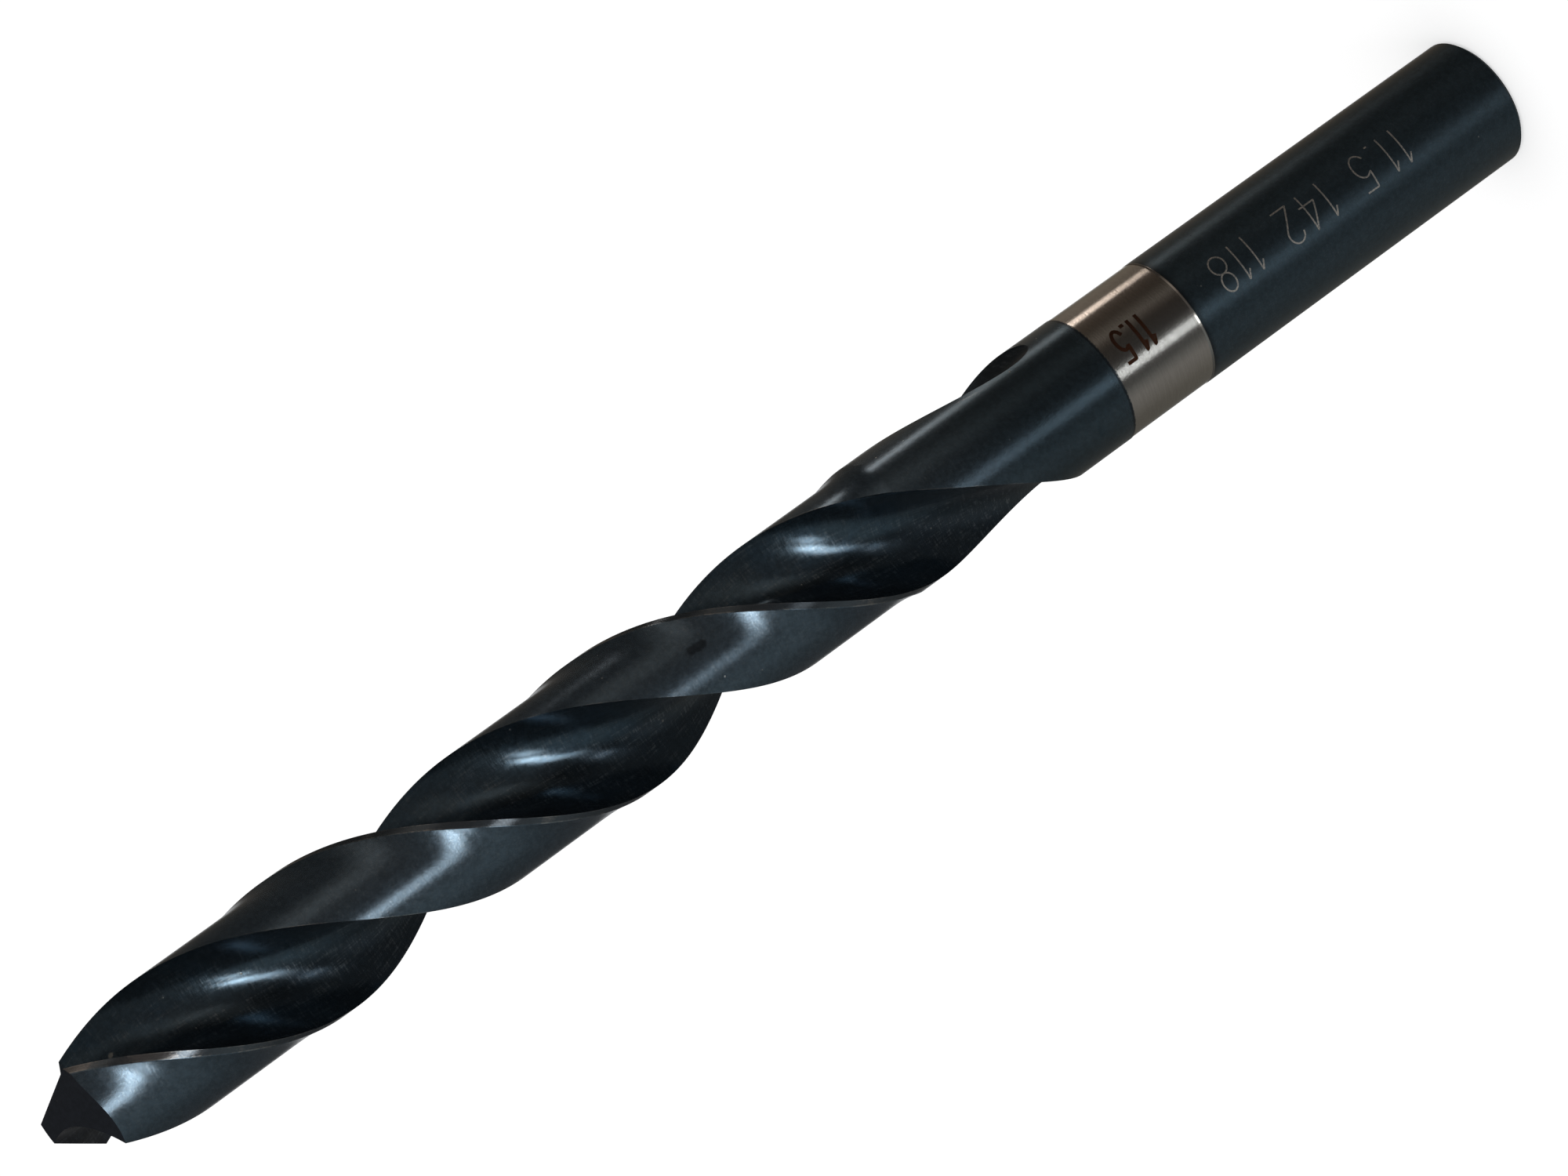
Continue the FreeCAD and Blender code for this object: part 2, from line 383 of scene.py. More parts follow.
def shank_rows(edge):
    """Rows of the plain shank, from the middle of its end to below the flutes.

    Each follows the angles of the body's lowest row, at its own distance from the axis.
    """
    angle = np.arctan2(edge[:, 1], edge[:, 0])
    low = RADIUS - BAND_DEPTH
    profile = [(RADIUS * share, 0) for share in END_RINGS] + [(RADIUS - END_CHAMFER, 0)]
    profile += [(RADIUS, z) for z in np.linspace(END_CHAMFER, BAND_BOTTOM - BAND_SHOULDER, SHANK_ROWS)]
    profile += [(low, z) for z in np.linspace(BAND_BOTTOM, BAND_TOP, BAND_ROWS)]
    profile += [(RADIUS, z) for z in np.linspace(BAND_TOP, FLUTE_TIP, NECK_ROWS)[:-1]]
    distance, z = np.array(profile).T
    x, y = np.outer(distance, np.cos(angle)), np.outer(distance, np.sin(angle))
    return np.stack([x, y, np.repeat(z[:, None], len(angle), axis=1)], axis=2)


def chisel_line(start, end, count):
    """Points of the chisel edge, where both cones are equally high, from one end to the other.

    They are spread evenly along the straight line, and moved off it by halving.
    """
    share = np.linspace(-1, 1, count)
    middle, reach = (start + end) / 2, (end - start) / 2
    line = middle + share[:, None] * reach
    across = np.array([-reach[1], reach[0]]) / np.hypot(*reach)

    def moved(off):
        return line[:, 0] + off * across[0], line[:, 1] + off * across[1]

    def is_higher(off):
        x, y = moved(off)
        return cone_height(x, y) > cone_height(-x, -y)

    off = halved(np.full(count, -CHISEL_BOW), np.full(count, CHISEL_BOW), is_higher)
    off[0] = off[-1] = 0
    x, y = moved(off)
    return np.stack([x, y, flank_height(x, y)], axis=1)


def triangles(ids):
    """Two triangles for each cell of a grid of vertex numbers, without those that have no area."""
    a, b, c, d = ids[:-1, :-1], ids[:-1, 1:], ids[1:, 1:], ids[1:, :-1]
    pairs = np.stack([np.stack([a, b, c], 2), np.stack([a, c, d], 2)], 2)
    cells = pairs.reshape(-1, 3)
    area = (cells[:, 0] != cells[:, 1]) & (cells[:, 1] != cells[:, 2]) & (cells[:, 0] != cells[:, 2])
    return cells[area], area


def stretched(start, end, low, high):
    """A grid of points stretched between four edges that meet at their corners.

    Each point is the blend of the two edges across, plus the blend of the two edges along, less the
    blend of the four corners.
    """
    v = np.linspace(0, 1, len(start))[:, None, None]
    u = np.linspace(0, 1, len(low))[None, :, None]
    sides = start[:, None] * (1 - u) + end[:, None] * u + low[None] * (1 - v) + high[None] * v
    near, far = low[0] * (1 - u) + low[-1] * u, high[0] * (1 - u) + high[-1] * u
    return sides - near * (1 - v) - far * v


class Skin:
    """The points, triangles and surface measures of the drill, gathered part by part."""

    def __init__(self):
        self.count = 0
        self.points, self.measures, self.faces, self.flags = [], [], [], []

    def add_points(self, points, measures):
        """Adds points with their distances from the leading edge and the heel, and numbers them."""
        ids = self.count + np.arange(len(points))
        self.count += len(points)
        self.points.append(points)
        self.measures.append(measures)
        return ids

    def add_faces(self, cells, wall, ground):
        """Adds triangles, with 1 where they are flute wall and 1 where they are ground point."""
        self.faces.append(cells)
        self.flags.append(np.stack([np.broadcast_to(flag, len(cells)) for flag in (wall, ground)]))

    def joined(self):
        """Points in use, triangles, the points' two distances, and the triangles' two flags."""
        used, compact = np.unique(np.concatenate(self.faces), return_inverse=True)
        return (np.concatenate(self.points)[used], compact.reshape(-1, 3),
                np.concatenate(self.measures)[used].T, np.concatenate(self.flags, axis=1))


def edge_distances(rows, plain):
    """Distance of each point from the leading edge and the heel next to it, along its row.

    Below the flutes, in the plain rows, both are far.
    """
    steps = np.linalg.norm(np.diff(rows, axis=1, append=rows[:, :1])[..., :2], axis=2)
    run = np.cumsum(steps, axis=1) - steps
    lead, heel = np.full(rows.shape[:2], FAR), np.full(rows.shape[:2], FAR)
    for first in (0, HALF):
        edge = first + WALL_COLUMNS - 1
        wall, land_part = slice(first, edge + 1), slice(edge, first + HALF)
        width = steps[:, land_part].sum(axis=1, keepdims=True)
        past_lead, past_heel = run - run[:, first:first + 1], run - run[:, edge:edge + 1]
        lead[:, wall] = np.minimum(lead[:, wall], past_lead[:, wall])
        heel[:, wall] = np.minimum(heel[:, wall], -past_heel[:, wall])
        heel[:, land_part] = np.minimum(heel[:, land_part], past_heel[:, land_part])
        lead[:, land_part] = np.minimum(lead[:, land_part], width - past_heel[:, land_part])
    lead[:plain - 1], heel[:plain - 1] = FAR, FAR
    return np.stack([lead, heel], axis=2).reshape(-1, 2)


def add_flanks(skin, top, ids):
    """Adds the chisel edge, and fills the two flanks from it to the body's last row."""
    across = HALF - WALL_COLUMNS + 2
    ends = [HALF + CHISEL_COLUMN, CHISEL_COLUMN]
    chisel = chisel_line(*top[ends, :2], across)
    chisel_ids = skin.add_points(chisel, np.full((across, 2), FAR))
    chisel_ids[[0, -1]] = ids[ends]
    for side, first in ((1, HALF), (-1, 0)):
        heel_wall = first + np.arange(CHISEL_COLUMN, WALL_COLUMNS)
        outer = (first + np.arange(WALL_COLUMNS - 1, HALF + 1)) % len(ids)
        lip = (first + HALF + np.arange(CHISEL_COLUMN, -1, -1)) % len(ids)
        sides = top[heel_wall, :2], top[lip, :2], chisel[::side, :2], top[outer, :2]
        fill = stretched(*sides)[1:-1, 1:-1]
        height = LIP_HEIGHT + cone_height(side * fill[..., 0], side * fill[..., 1])
        behind = WEB_AT_POINT / 2 - side * fill[..., 1]
        filled = skin.add_points(
            np.concatenate([fill, height[..., None]], axis=2).reshape(-1, 3),
            np.stack([behind, np.full_like(behind, FAR)], axis=2).reshape(-1, 2))
        grid = np.empty((len(lip), across), dtype=int)
        grid[0], grid[-1] = chisel_ids[::side], ids[outer]
        grid[:, 0], grid[:, -1] = ids[heel_wall], ids[lip]
        grid[1:-1, 1:-1] = filled.reshape(height.shape)
        skin.add_faces(triangles(grid[::-1])[0], 0, 1)


def drill_mesh():
    """Points, triangles, edge distances and flags of the whole drill, as one closed skin.

    Rows run from the shank's end up to the point, and the two flanks are filled from that last row
    to the chisel edge. Along the shank the columns of a flute's wall share one vertex.
    """
    heights = np.concatenate([
        FLUTE_TIP + (RUNOUT_START - FLUTE_TIP) * np.linspace(0, 1, RUNOUT_ROWS) ** 2,
        np.linspace(RUNOUT_START, POINT_BASE, BODY_ROWS)[1:],
    ])
    body = body_rows(heights)
    body[0, HALF * np.arange(2)[:, None] + np.arange(WALL_COLUMNS)] = body[0, [[0], [HALF]]]
    shank = shank_rows(body[0])
    rows = np.concatenate([shank, body, point_rows(POINT_BASE, POINT_ROWS)])
    plain = len(shank) + 1
    skin = Skin()
    ids = skin.add_points(rows.reshape(-1, 3), edge_distances(rows, plain)).reshape(rows.shape[:2])
    for first in (0, HALF):
        ids[:plain, first:first + WALL_COLUMNS] = ids[:plain, first:first + 1]
    around = np.concatenate([ids, ids[:, :1]], axis=1)
    cells, kept = triangles(around)
    is_wall = np.zeros((len(rows) - 1, 2 * HALF, 2))
    is_wall[plain - 1:, np.arange(2 * HALF) % HALF < WALL_COLUMNS - 1] = 1
    skin.add_faces(cells, is_wall.reshape(-1)[kept], 0)
    add_flanks(skin, rows[-1], ids[-1])
    pole = skin.add_points(np.zeros((1, 3)), np.full((1, 2), FAR))
    skin.add_faces(triangles(np.stack([np.repeat(pole, 2 * HALF + 1), around[0]]))[0], 0, 0)
    return skin.joined()


def drill_piece():
    """The drill as one object, in metres, with its wear and flute measures as attributes."""
    points, cells, (lead, heel), (wall, ground) = drill_mesh()
    mesh = bpy.data.meshes.new("drill")
    mesh.vertices.add(len(points))
    mesh.vertices.foreach_set("co", (points * MILLIMETRE).astype(np.float32).ravel())
    mesh.loops.add(cells.size)
    mesh.loops.foreach_set("vertex_index", cells.astype(np.int32).ravel())
    mesh.polygons.add(len(cells))
    mesh.polygons.foreach_set("loop_start", np.arange(0, cells.size, 3, dtype=np.int32))
    mesh.polygons.foreach_set("use_smooth", np.ones(len(cells), dtype=bool))
    mesh.update(calc_edges=True)
    for name, domain, values in (("lead", "POINT", lead), ("heel", "POINT", heel),
                                 ("flute", "FACE", wall), ("ground", "FACE", ground)):
        mesh.attributes.new(name, "FLOAT", domain).data.foreach_set("value", values.astype(np.float32))
    mesh.set_sharp_from_angle(angle=SHARP_ANGLE)
    mesh.validate()
    piece = bpy.data.objects.new("drill", mesh)
    bpy.context.collection.objects.link(piece)
    return piece


def bow(middle, size, start, end, count=15):
    """Points of a part of an ellipse, between two angles in degrees."""
    angle = np.radians(np.linspace(start, end, count))
    return np.stack([middle[0] + size[0] * np.cos(angle), middle[1] + size[1] * np.sin(angle)], axis=1)


# Each numeral's width and strokes, in shares of its height, as an engraver draws them
NUMERALS = {
    "1": (0.20, [[(0.02, 0.78), (0.14, 1.0), (0.14, 0.0)]]),
    "2": (0.44, [np.concatenate([bow((0.22, 0.76), (0.22, 0.24), 170, -30),
                                 [(0.0, 0.0), (0.44, 0.0)]])]),
    "4": (0.46, [[(0.34, 0.0), (0.34, 1.0), (0.0, 0.30), (0.46, 0.30)]]),
    "5": (0.42, [np.concatenate([[(0.40, 1.0), (0.06, 1.0), (0.03, 0.56)],
                                 bow((0.20, 0.32), (0.22, 0.32), 125, -150)])]),
    "8": (0.44, [bow((0.22, 0.75), (0.19, 0.25), -90, 270, 25),
                 bow((0.22, 0.25), (0.22, 0.25), 90, 450, 25)]),
    ".": (0.08, [[(0.02, 0.0), (0.06, 0.0)]]),
    " ": (0.42, []),
}
# Points along a stroke are this many millimetres apart
STROKE_STEP = 0.06


def evenly(line, step):
    """The line's points, spread evenly along it at about a step apart."""
    line = np.asarray(line, dtype=float)
    run = np.concatenate([[0], np.cumsum(np.hypot(*np.diff(line, axis=0).T))])
    at = np.linspace(0, run[-1], max(3, int(run[-1] / step) + 1))
    return np.stack([np.interp(at, run, line[:, 0]), np.interp(at, run, line[:, 1])], axis=1)


def numerals(name, text, start, angle, height, narrow, gap, width, low, high):
    """Numerals laid round the drill, reading from the shank end to the point.

    Each stroke is a flat bar carried along its line: a rectangle with corners half the width to each
    side of the line, at a low and a high distance from the axis, closed at both ends. A place along
    the text is a height on the drill, and a place up a numeral is an angle round it. The start, the
    height, the width and the two distances are millimetres and the angle is degrees. The gap between
    numerals is a share of the height, and narrow is a share of each numeral's own width.
    """
    points, cells, count, reach = [], [], 0, start
    for letter in text:
        wide, strokes = NUMERALS[letter]
        for stroke in strokes:
            line = evenly(np.asarray(stroke) * (height * narrow, height), STROKE_STEP)
            along = np.gradient(line, axis=0)
            along /= np.hypot(*along.T)[:, None] + TINY
            line[0] -= along[0] * width / 2
            line[-1] += along[-1] * width / 2
            across = np.stack([-along[:, 1], along[:, 0]], axis=1) * width / 2
            sides = np.stack([line + across, line - across, line - across, line + across], axis=1)
            distance = np.array([high, high, low, low])
            around = math.radians(angle) - sides[..., 1] / high
            x, y = distance * np.cos(around), distance * np.sin(around)
            points.append(np.stack([x, y, reach + sides[..., 0]], axis=2).reshape(-1, 3))
            ids = count + np.arange(4 * len(line)).reshape(-1, 4)
            a, b = ids[:-1], ids[1:]
            cells.append(np.stack([a, np.roll(a, -1, 1), np.roll(b, -1, 1), b], 2).reshape(-1, 4))
            cells.append(np.stack([ids[0, ::-1], ids[-1]]))
            count += ids.size
        reach += (wide * narrow + gap) * height
    mesh = bpy.data.meshes.new(name)
    mesh.from_pydata((np.concatenate(points) * MILLIMETRE).tolist(), [], np.concatenate(cells).tolist())
    mesh.update()
    piece = bpy.data.objects.new(name, mesh)
    bpy.context.collection.objects.link(piece)
    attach(piece, "root")
    return piece


class Value:
    """A number that varies over a surface. Arithmetic on it adds Math nodes."""

    def __init__(self, shader, socket):
        self.shader = shader
        self.socket = socket

    def maths(self, operation, *inputs):
        return self.shader.value("ShaderNodeMath", {"operation": operation}, dict(enumerate(inputs)))

    def __add__(self, other):
        return self.maths("ADD", self, other)

    def __sub__(self, other):
        return self.maths("SUBTRACT", self, other)

    def __rsub__(self, other):
        return self.maths("SUBTRACT", other, self)

    def __mul__(self, other):
        return self.maths("MULTIPLY", self, other)

    def size(self):
        return self.maths("ABSOLUTE", self)

    def capped(self):
        return self.maths("MINIMUM", self, 1.0)

    __radd__ = __add__
    __rmul__ = __mul__


class Shader:
    """The nodes of one material, lamp or world."""

    def __init__(self, owner):
        owner.use_nodes = True
        self.tree = owner.node_tree
        self.tree.nodes.clear()

    def node(self, kind, settings=None, inputs=None):
        """Adds a node, makes its settings, and gives its sockets their values or links."""
        node = self.tree.nodes.new(kind)
        for name, setting in (settings or {}).items():
            if name == "stops":
                ramp = node.color_ramp.elements
                while len(ramp) < len(setting):
                    ramp.new(0.5)
                for element, (position, colour) in zip(ramp, setting):
                    element.position, element.color = position, (*colour, 1)
            else:
                setattr(node, name, setting)
        for name, given in (inputs or {}).items():
            socket = given.socket if isinstance(given, Value) else given
            if isinstance(socket, bpy.types.NodeSocket):
                self.tree.links.new(socket, node.inputs[name])
            else:
                node.inputs[name].default_value = socket
        return node

    def value(self, kind, settings=None, inputs=None, output=0):
        return Value(self, self.node(kind, settings, inputs).outputs[output])

    def rise(self, value, low, high):
        """From 0 at low to 1 at high, with smooth ends. With low above high it falls instead."""
        ends = {"Value": value, "From Min": low, "From Max": high}
        if low > high:
            ends.update({"From Min": high, "From Max": low, "To Min": 1.0, "To Max": 0.0})
        return self.value("ShaderNodeMapRange", {"interpolation_type": "SMOOTHSTEP"}, ends)

    def noise(self, where, scale, detail, roughness=0.5):
        return self.value("ShaderNodeTexNoise", {}, {
            "Vector": where, "Scale": scale, "Detail": detail, "Roughness": roughness})

    def lines(self, where, stretch):
        """Noise drawn out into lines, by how often it changes along each axis."""
        scaled = self.node("ShaderNodeMapping", {}, {"Vector": where, "Scale": stretch}).outputs[0]
        return self.noise(scaled, 1.0, 4, 0.65)

    def millimetres(self):
        """The object's own coordinates in millimetres."""
        place = self.node("ShaderNodeTexCoord").outputs["Object"]
        scaled = self.node("ShaderNodeVectorMath", {"operation": "SCALE"}, {
            0: place, "Scale": 1 / MILLIMETRE})
        return scaled.outputs[0]

    def finish(self, colour, rough, height, depth, metal):
        """The material's surface, with bumps of a height from 0 to 1 and a depth in metres."""
        bump = self.node("ShaderNodeBump", {}, {"Height": height, "Distance": depth, "Strength": 1.0})
        surface = self.node("ShaderNodeBsdfPrincipled", {}, {
            "Base Color": colour, "Roughness": rough, "Metallic": metal, "Normal": bump.outputs[0]})
        self.node("ShaderNodeOutputMaterial", {}, {"Surface": surface.outputs[0]})

    def mix(self, share, first, second):
        """A colour between two, by a share from 0 to 1."""
        node = self.tree.nodes.new("ShaderNodeMix")
        node.data_type = "RGBA"
        factor, a, b = node.inputs[0], node.inputs[6], node.inputs[7]
        for socket, given in ((factor, share), (a, first), (b, second)):
            given = given.socket if isinstance(given, Value) else given
            if isinstance(given, bpy.types.NodeSocket):
                self.tree.links.new(given, socket)
            elif socket is factor:
                socket.default_value = given
            else:
                socket.default_value = (*given, 1)
        return node.outputs[2]


# The steel's colours: its oxide by place, painted shade on the flute's lip side, below the point and in
# a nick, what shows where it is worn, which along the edges is also a painted highlight, and the bare
# band
OXIDE_SHANK = (0.054, 0.079, 0.096)
OXIDE_LAND = (0.102, 0.139, 0.170)
OXIDE_FLUTE = (0.076, 0.110, 0.137)
OXIDE_PATCH = (0.062, 0.106, 0.150)
LIP_SIDE_PAINTED_SHADE = (0.028, 0.038, 0.048)
OXIDE_POINT = (0.060, 0.068, 0.086)
TIP_WALL_PAINTED_SHADE = (0.018, 0.020, 0.026)
OXIDE_DULL = (0.024, 0.027, 0.028)
OXIDE_BRIGHT = (0.200, 0.230, 0.250)
MARGIN_STEEL = (0.094, 0.104, 0.112)
RUBBED_STEEL = (0.280, 0.255, 0.235)
EDGE_STEEL_AND_PAINTED_GLINT = (0.40, 0.38, 0.35)
BAND_LIGHT = (0.42, 0.395, 0.36)
BAND_DARK = (0.33, 0.305, 0.27)
STAIN = (0.018, 0.018, 0.018)
SPECK_STEEL = (0.42, 0.40, 0.36)
NICK_PAINTED_SHADE = (0.018, 0.018, 0.020)
MARK_STEEL = (0.10, 0.12, 0.13)

# Heights in millimetres over which the finish changes: into the band, into and out of the stain at
# its foot, into the neck, the fluted body, the worn edges with their painted highlight, the margin and
# its rubbed end, and the painted shade on the flute's wall below the point
BAND_FOOT = (34.48, 34.54)
STAIN_FOOT = (33.9, 34.5)
STAIN_TOP = (34.56, 34.5)
NECK_FOOT = (43, 44)
FLUTED_FOOT = (50, 66)
EDGE_FOOT = (50, 60)
MARGIN_FOOT = (64, 66)
RUBBED_FOOT = (126, 136)
TIP_WALL_FOOT = (137.8, 139.0)
# Millimetres from the leading edge over which the flute's wall gets darker towards the lip: painted
# shade that holds back the lamps' reflection there
LIP_SIDE = (6.3, 4.5)

# Place, reach and strength of two bright specks, and place and reach of a nick's parts, in millimetres;
# the nick's darker colour is painted shade in its dent
SPECKS = (((-1.34, -1.71, 87.3), 0.28, 0.8), ((-0.58, 2.40, 135.1), 0.30, 1.0))
NICK = (((5.18, -1.34, 82.9), 0.45), ((5.18, -1.30, 83.4), 0.50), ((5.18, -1.26, 83.9), 0.45))

OXIDE_ROUGHNESS = 0.30
BAND_ROUGHNESS = 0.15
OXIDE_METALLIC = 0.955
# Depth of the bumps in metres, on the steel and on the marks
STEEL_BUMP = 0.000005
MARK_BUMP = 0.000006


def oxide_steel():
    """Blue-black oxide on ground steel, worn along its edges, with a bare ground band on the shank.

    Grinding lines run round the shank, the band and the lands, and along the helix in the flutes. The
    bright worn edges are also a painted highlight, and painted shade darkens the flute's wall towards
    the lip, just below the point, and in a nick.
    """
    material = bpy.data.materials.new("oxide_steel")
    shader = Shader(material)
    rise = shader.rise
    place = shader.millimetres()
    z = Value(shader, shader.node("ShaderNodeSeparateXYZ", {}, {0: place}).outputs["Z"])
    flute, ground, lead, heel = (
        shader.value("ShaderNodeAttribute", {"attribute_name": name}, {}, "Fac")
        for name in ("flute", "ground", "lead", "heel"))
    untwisted = shader.node("ShaderNodeVectorRotate", {"rotation_type": "Z_AXIS"}, {
        "Vector": place, "Angle": z * -TURN_PER_MM}).outputs[0]
    patches = shader.noise(place, 0.35, 3)
    mottle = shader.noise(place, 2.2, 5, 0.65)
    grain = shader.noise(place, 6.0, 3, 0.7)
    round_lines = shader.lines(place, (0.5, 0.5, 7.0))
    flute_lines = shader.lines(untwisted, (6.0, 6.0, 0.35))
    cross_lines = shader.lines(place, (0.9, 0.9, 7.0))

    def near(point, reach):
        """From 0 at the reach to 1 at a point in the drill's own millimetres."""
        away = shader.value("ShaderNodeVectorMath", {"operation": "DISTANCE"}, {
            0: place, 1: point}, "Value")
        return rise(away + (grain - 0.5) * 0.25, reach, reach * 0.5)

    land = (1 - flute) * (1 - ground)
    fluted = rise(z, *FLUTED_FOOT)
    # The flute's wall just below the point: given the ground point's tone, then darkened with painted
    # shade
    tip_wall = flute * rise(z, *TIP_WALL_FOOT)
    ragged = z + (grain - 0.5) * 0.3
    band = rise(z, *BAND_FOOT) * rise(ragged, BAND_TOP + 0.14, BAND_TOP + 0.02)
    stain = rise(z, *STAIN_FOOT) * rise(z, *STAIN_TOP)
    stain = stain + rise((ragged - BAND_TOP - 0.18).size(), 0.16, 0.05)

    worn = rise(round_lines * 0.3 + grain * 0.7, 0.48, 0.72) * land * (fluted * 0.6 + 0.25)
    brushed = rise(flute_lines * 0.5 + cross_lines * 0.5, 0.50, 0.70) * flute
    margin = land * rise(lead, MARGIN_WIDTH + 0.06, MARGIN_WIDTH - 0.02) * rise(z, *MARGIN_FOOT)
    at_tip = rise(z + (patches - 0.5) * 8, *RUBBED_FOOT)
    rubbed = margin * rise(patches * 0.7 + grain * 0.3 + at_tip * 0.12, 0.52, 0.68)
    # Bright steel along the edges: partly wear, and partly a painted highlight for the light their
    # rounding catches
    edge = rise(heel, 0.10, 0.03) * 0.7 + rise(lead, 0.09, 0.02)
    edge = edge + land * rise((lead - MARGIN_WIDTH - 0.02).size(), 0.09, 0.03)
    edge = edge * rise(patches * 0.6 + grain * 0.4, 0.44, 0.62) * rise(z, *EDGE_FOOT)
    edge = edge.capped()

    specks = shader.value("ShaderNodeTexVoronoi", {"feature": "F1"}, {
        "Vector": place, "Scale": 0.5}, "Distance")
    spot = rise(specks, 0.055, 0.02) * rise(mottle, 0.42, 0.6) * (1 - band)
    for point, reach, strength in SPECKS:
        spot = spot + near(point, reach) * strength
    spot = spot.capped()
    # A nick, whose darker colour is painted shade in its dent
    nick = (near(*NICK[0]) + near(*NICK[1]) + near(*NICK[2])).capped()

    colour = OXIDE_SHANK
    for share, tone in (
        (fluted * land, OXIDE_LAND),
        (flute, OXIDE_FLUTE),
        (rise(patches, 0.46, 0.62) * flute * 0.4, OXIDE_PATCH),
        # Painted shade: the flute's wall darkened towards the lip, holding back the lamps' reflection
        # there
        (flute * rise(lead, *LIP_SIDE) * 0.75, LIP_SIDE_PAINTED_SHADE),
        (ground + tip_wall, OXIDE_POINT),
        # Painted shade: the flute's wall just below the point darkened
        (tip_wall * 0.55, TIP_WALL_PAINTED_SHADE),
        (rise(mottle, 0.62, 0.38) * 0.25, OXIDE_DULL),
        (worn * 0.65, OXIDE_BRIGHT),
        (brushed * 0.65, OXIDE_BRIGHT),
        (margin * 0.8, MARGIN_STEEL),
        (rubbed * 0.6, RUBBED_STEEL),
        # Painted highlight and wear: bare steel along the edges
        (edge * 0.6, EDGE_STEEL_AND_PAINTED_GLINT),
        (band, shader.mix(rise(round_lines, 0.35, 0.65) * 0.35, BAND_LIGHT, BAND_DARK)),
        (stain * 0.6, STAIN),
        (spot * 0.7, SPECK_STEEL),
        # Painted shade: the nick darkened in its dent
        (nick * 0.6, NICK_PAINTED_SHADE),
    ):
        colour = shader.mix(share, colour, tone)

    rough = OXIDE_ROUGHNESS - rise(z, *NECK_FOOT) * 0.06 - fluted * 0.03 - flute * 0.02 + ground * 0.28
    rough = rough + (mottle - 0.5) * 0.12 + (cross_lines * 0.7 + flute_lines * 0.3 - 0.5) * flute * 0.25
    rough = rough - margin * 0.05 + spot * 0.2
    bare = BAND_ROUGHNESS + (grain - 0.5) * 0.12 + (round_lines - 0.5) * 0.06
    rough = rough * (1 - band) + band * bare
    height = round_lines * (1 - flute) * (0.35 + fluted * 0.45)
    height = height + (flute_lines * 0.15 + cross_lines * 0.9) * flute
    height = height + grain * (0.9 - flute * 0.6) + edge * 0.3 + spot * 1.5 - nick * 0.5
    shader.finish(colour, rough, height, STEEL_BUMP, OXIDE_METALLIC + band * (1 - OXIDE_METALLIC))
    return material


def mark_finish(name, tone, strength, roughness):
    """A worn mark: its tone, broken up by the steel that shows through it."""
    material = bpy.data.materials.new(name)
    shader = Shader(material)
    grain = shader.noise(shader.millimetres(), 9.0, 3, 0.7)
    colour = shader.mix(shader.rise(grain, 0.40, 0.66) * strength, tone, MARK_STEEL)
    shader.finish(colour, (grain - 0.5) * 0.3 + roughness, grain, MARK_BUMP, 1.0)
    return material


# The floor's reach from the drill in metres, its paper, and its own light where the camera sees it
FLOOR_REACH = 8.0
PAPER = (0.8, 0.8, 0.8, 1)
FLOOR_GLOW = 0.50


def paper_floor():
    """A plain white floor: lit as pale paper, and brightened to white where the camera sees it.

    It keeps the drill's shadow. Gloss on the drill shows the studio that goes on below it.
    """
    mesh = bpy.data.meshes.new("floor")
    corners = [(FLOOR_REACH * x, FLOOR_REACH * y, 0) for x, y in ((-1, -1), (1, -1), (1, 1), (-1, 1))]
    mesh.from_pydata(corners, [], [(0, 1, 2, 3)])
    floor = bpy.data.objects.new("floor", mesh)
    bpy.context.collection.objects.link(floor)
    material = bpy.data.materials.new("paper")
    shader = Shader(material)
    paper = shader.node("ShaderNodeBsdfDiffuse", {}, {"Color": PAPER})
    seen = Value(shader, shader.node("ShaderNodeLightPath").outputs["Is Camera Ray"])
    glow = shader.node("ShaderNodeEmission", {}, {"Strength": seen * FLOOR_GLOW})
    both = shader.node("ShaderNodeAddShader", {}, {0: paper.outputs[0], 1: glow.outputs[0]})
    shader.node("ShaderNodeOutputMaterial", {}, {"Surface": both.outputs[0]})
    mesh.materials.append(material)
    floor.visible_glossy = False
    floor.visible_shadow = False


# The photograph's camera: its place in metres, its three axes, and its lens and sensor in millimetres
CAMERA_PLACE = (0.236405, -0.110122, 0.154583)
CAMERA_RIGHT = (-0.0312201, -0.6324714, -0.7739543)
CAMERA_UP = (0.5018600, 0.6597281, -0.5593705)
CAMERA_BACK = (0.8643853, -0.4058803, 0.2968153)
LENS = 81.40
SENSOR = 36.0
NEAREST = 0.01
# Degrees round the drill at which the camera stands
CAMERA_SIDE = math.degrees(math.atan2(CAMERA_BACK[1], CAMERA_BACK[0]))

# The studio that the metal shows, round the drill: degrees from the camera's side, and the colour
# there, above a falling line of sight, below it, and lowest. The white background is behind the drill.
BEHIND = (0.80, 0.80, 0.80)
STUDIO_ABOVE = (
    (-180, BEHIND), (-172, BEHIND), (-158, (0.10, 0.085, 0.07)), (-120, (0.070, 0.060, 0.050)),
    (-100, (0.042, 0.037, 0.032)), (-72, (0.045, 0.040, 0.036)), (-55, (0.20, 0.175, 0.155)),
    (-40, (0.22, 0.195, 0.175)), (-25, (0.115, 0.10, 0.092)), (10, (0.11, 0.11, 0.11)),
    (35, (0.14, 0.145, 0.145)), (50, (0.225, 0.25, 0.255)), (66, (0.24, 0.265, 0.27)),
    (80, (0.19, 0.21, 0.215)), (95, (0.13, 0.14, 0.14)), (125, (0.095, 0.095, 0.095)),
    (158, (0.09, 0.09, 0.09)), (172, BEHIND), (180, BEHIND),
)
